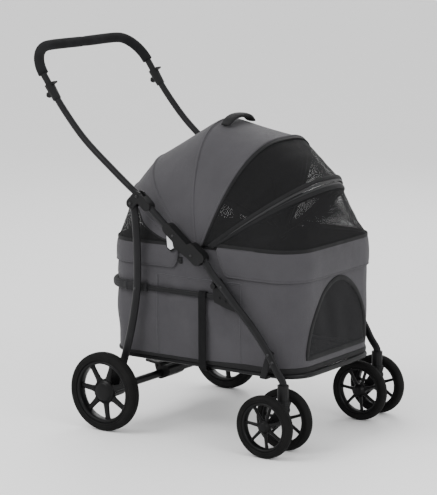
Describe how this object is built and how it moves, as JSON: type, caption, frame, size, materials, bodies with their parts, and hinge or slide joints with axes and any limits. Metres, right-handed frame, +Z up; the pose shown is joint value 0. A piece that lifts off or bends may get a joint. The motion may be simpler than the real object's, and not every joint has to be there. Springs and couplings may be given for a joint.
{
  "type": "pet stroller",
  "caption": "Folding pet stroller with a zip-mesh hood, fabric basket, foam push handle, two rear wheels and two twin swivel casters.",
  "frame": {"origin": "on the floor under the middle of the bounding box", "axes": "+X forward, towards the casters; +Y to the left; +Z up"},
  "size_m": [0.8322, 0.575, 0.9593],
  "materials": {
    "paint": "satin black powder coat",
    "plastic": "fine-grained black moulding",
    "wheel": "smooth black moulding",
    "tyre": "matt foam",
    "grip": "fine-pored foam",
    "cloth": "plain weave, dark grey",
    "mesh": "open mesh, black",
    "webbing": "ribbed webbing, black",
    "board": "stiff board in cloth"
  },
  "bodies": {
    "frame": {"hinge_bracket_left": "plastic", "hinge_bracket_right": "plastic", "side_tube_left": "paint", "side_tube_right": "paint", "lock_sleeve_left": "plastic", "lock_sleeve_right": "plastic", "front_leg_left": "paint", "front_leg_right": "paint", "leg_bracket_left": "plastic", "leg_bracket_right": "plastic", "basket_ring": "paint", "base_frame": "paint", "caster_housing_left": "plastic", "caster_housing_right": "plastic", "basket_front": "cloth", "basket_rear": "cloth", "floor_board": "board", "floor_cushion": "cloth", "side_strap_left": "webbing", "side_strap_right": "webbing", "hood_frame": "plastic", "canopy_rear": "cloth", "carry_handle": "webbing", "canopy_brow": "cloth", "hood_mesh": "mesh", "front_mesh": "mesh"},
    "handle": {"foam_grip": "grip", "handle_bar": "paint", "handle_tube_left": "paint", "handle_tube_right": "paint", "handle_collar_left": "plastic", "handle_collar_right": "plastic"},
    "rear_frame": {"rear_leg_left": "paint", "rear_leg_right": "paint", "axle_block_left": "plastic", "axle_block_right": "plastic", "rear_axle": "paint", "brake_housing": "plastic"},
    "brake_pedal": {"brake_pedal": "plastic"},
    "front_bow": {"front_bow": "plastic"},
    "zip_bow": {"zip_bow": "plastic"},
    "lower_bow": {"lower_bow": "plastic"},
    "rear_wheel_left": {"rear_tyre_left": "tyre", "rear_rim_left": "wheel"},
    "caster_left": {"caster_fork_left": "plastic", "front_axle_left": "paint"},
    "front_wheel_left_outer": {"front_tyre_left_outer": "tyre", "front_rim_left_outer": "wheel"},
    "front_wheel_left_inner": {"front_tyre_left_inner": "tyre", "front_rim_left_inner": "wheel"},
    "snap_button_left": {"snap_button_left": "plastic"},
    "rear_wheel_right": {"rear_tyre_right": "tyre", "rear_rim_right": "wheel"},
    "caster_right": {"caster_fork_right": "plastic", "front_axle_right": "paint"},
    "front_wheel_right_outer": {"front_tyre_right_outer": "tyre", "front_rim_right_outer": "wheel"},
    "front_wheel_right_inner": {"front_tyre_right_inner": "tyre", "front_rim_right_inner": "wheel"},
    "snap_button_right": {"snap_button_right": "plastic"}
  },
  "joints": [
    {"name": "handle_fold", "type": "hinge", "parent": "frame", "child": "handle", "pos_m": [-0.06169, 0, 0.596], "axis": [0, 1, 0], "range_deg": [0, 110]},
    {"name": "rear_leg_fold", "type": "hinge", "parent": "frame", "child": "rear_frame", "pos_m": [-0.08069, 0, 0.577], "axis": [0, -1, 0], "range_deg": [0, 30]},
    {"name": "brake_pedal_press", "type": "hinge", "parent": "rear_frame", "child": "brake_pedal", "pos_m": [-0.14469, 0, 0.12], "axis": [0, -1, 0], "range_deg": [0, 15]},
    {"name": "front_bow_fold", "type": "hinge", "parent": "frame", "child": "front_bow", "pos_m": [0.09631, 0, 0.458], "axis": [0, -1, 0], "range_deg": [0, 22], "deforming": ["canopy_brow", "hood_mesh"]},
    {"name": "zip_bow_fold", "type": "hinge", "parent": "front_bow", "child": "zip_bow", "pos_m": [0.09631, 0, 0.458], "axis": [0, -1, 0], "range_deg": [0, 20], "deforming": ["hood_mesh"]},
    {"name": "lower_bow_fold", "type": "hinge", "parent": "frame", "child": "lower_bow", "pos_m": [0.09631, 0, 0.458], "axis": [0, 1, 0], "range_deg": [0, 22], "deforming": ["front_mesh"]},
    {"name": "rear_wheel_spin_left", "type": "hinge", "parent": "rear_frame", "child": "rear_wheel_left", "pos_m": [-0.13669, 0.271, 0.1], "axis": [0, 1, 0], "continuous": true},
    {"name": "caster_swivel_left", "type": "hinge", "parent": "frame", "child": "caster_left", "pos_m": [0.36231, 0.223, 0.14], "axis": [0, 0, 1], "continuous": true},
    {"name": "front_wheel_spin_left_outer", "type": "hinge", "parent": "caster_left", "child": "front_wheel_left_outer", "pos_m": [0.33831, 0.267, 0.077], "axis": [0, 1, 0], "continuous": true},
    {"name": "front_wheel_spin_left_inner", "type": "hinge", "parent": "caster_left", "child": "front_wheel_left_inner", "pos_m": [0.33831, 0.179, 0.077], "axis": [0, 1, 0], "continuous": true},
    {"name": "button_press_left", "type": "slide", "parent": "handle", "child": "snap_button_left", "axis": [0.8164, 0, 0.5775], "range_m": [0, 0.003], "stiffness_N_per_m": 300},
    {"name": "rear_wheel_spin_right", "type": "hinge", "parent": "rear_frame", "child": "rear_wheel_right", "pos_m": [-0.13669, -0.271, 0.1], "axis": [0, 1, 0], "continuous": true},
    {"name": "caster_swivel_right", "type": "hinge", "parent": "frame", "child": "caster_right", "pos_m": [0.36231, -0.223, 0.14], "axis": [0, 0, 1], "continuous": true},
    {"name": "front_wheel_spin_right_outer", "type": "hinge", "parent": "caster_right", "child": "front_wheel_right_outer", "pos_m": [0.33831, -0.267, 0.077], "axis": [0, 1, 0], "continuous": true},
    {"name": "front_wheel_spin_right_inner", "type": "hinge", "parent": "caster_right", "child": "front_wheel_right_inner", "pos_m": [0.33831, -0.179, 0.077], "axis": [0, 1, 0], "continuous": true},
    {"name": "button_press_right", "type": "slide", "parent": "handle", "child": "snap_button_right", "axis": [0.8164, 0, 0.5775], "range_m": [0, 0.003], "stiffness_N_per_m": 300}
  ],
  "couplings": [
    {"joint": "rear_leg_fold", "follows": "handle_fold", "ratio": 0.27273},
    {"joint": "zip_bow_fold", "follows": "front_bow_fold", "ratio": 0.9}
  ]
}
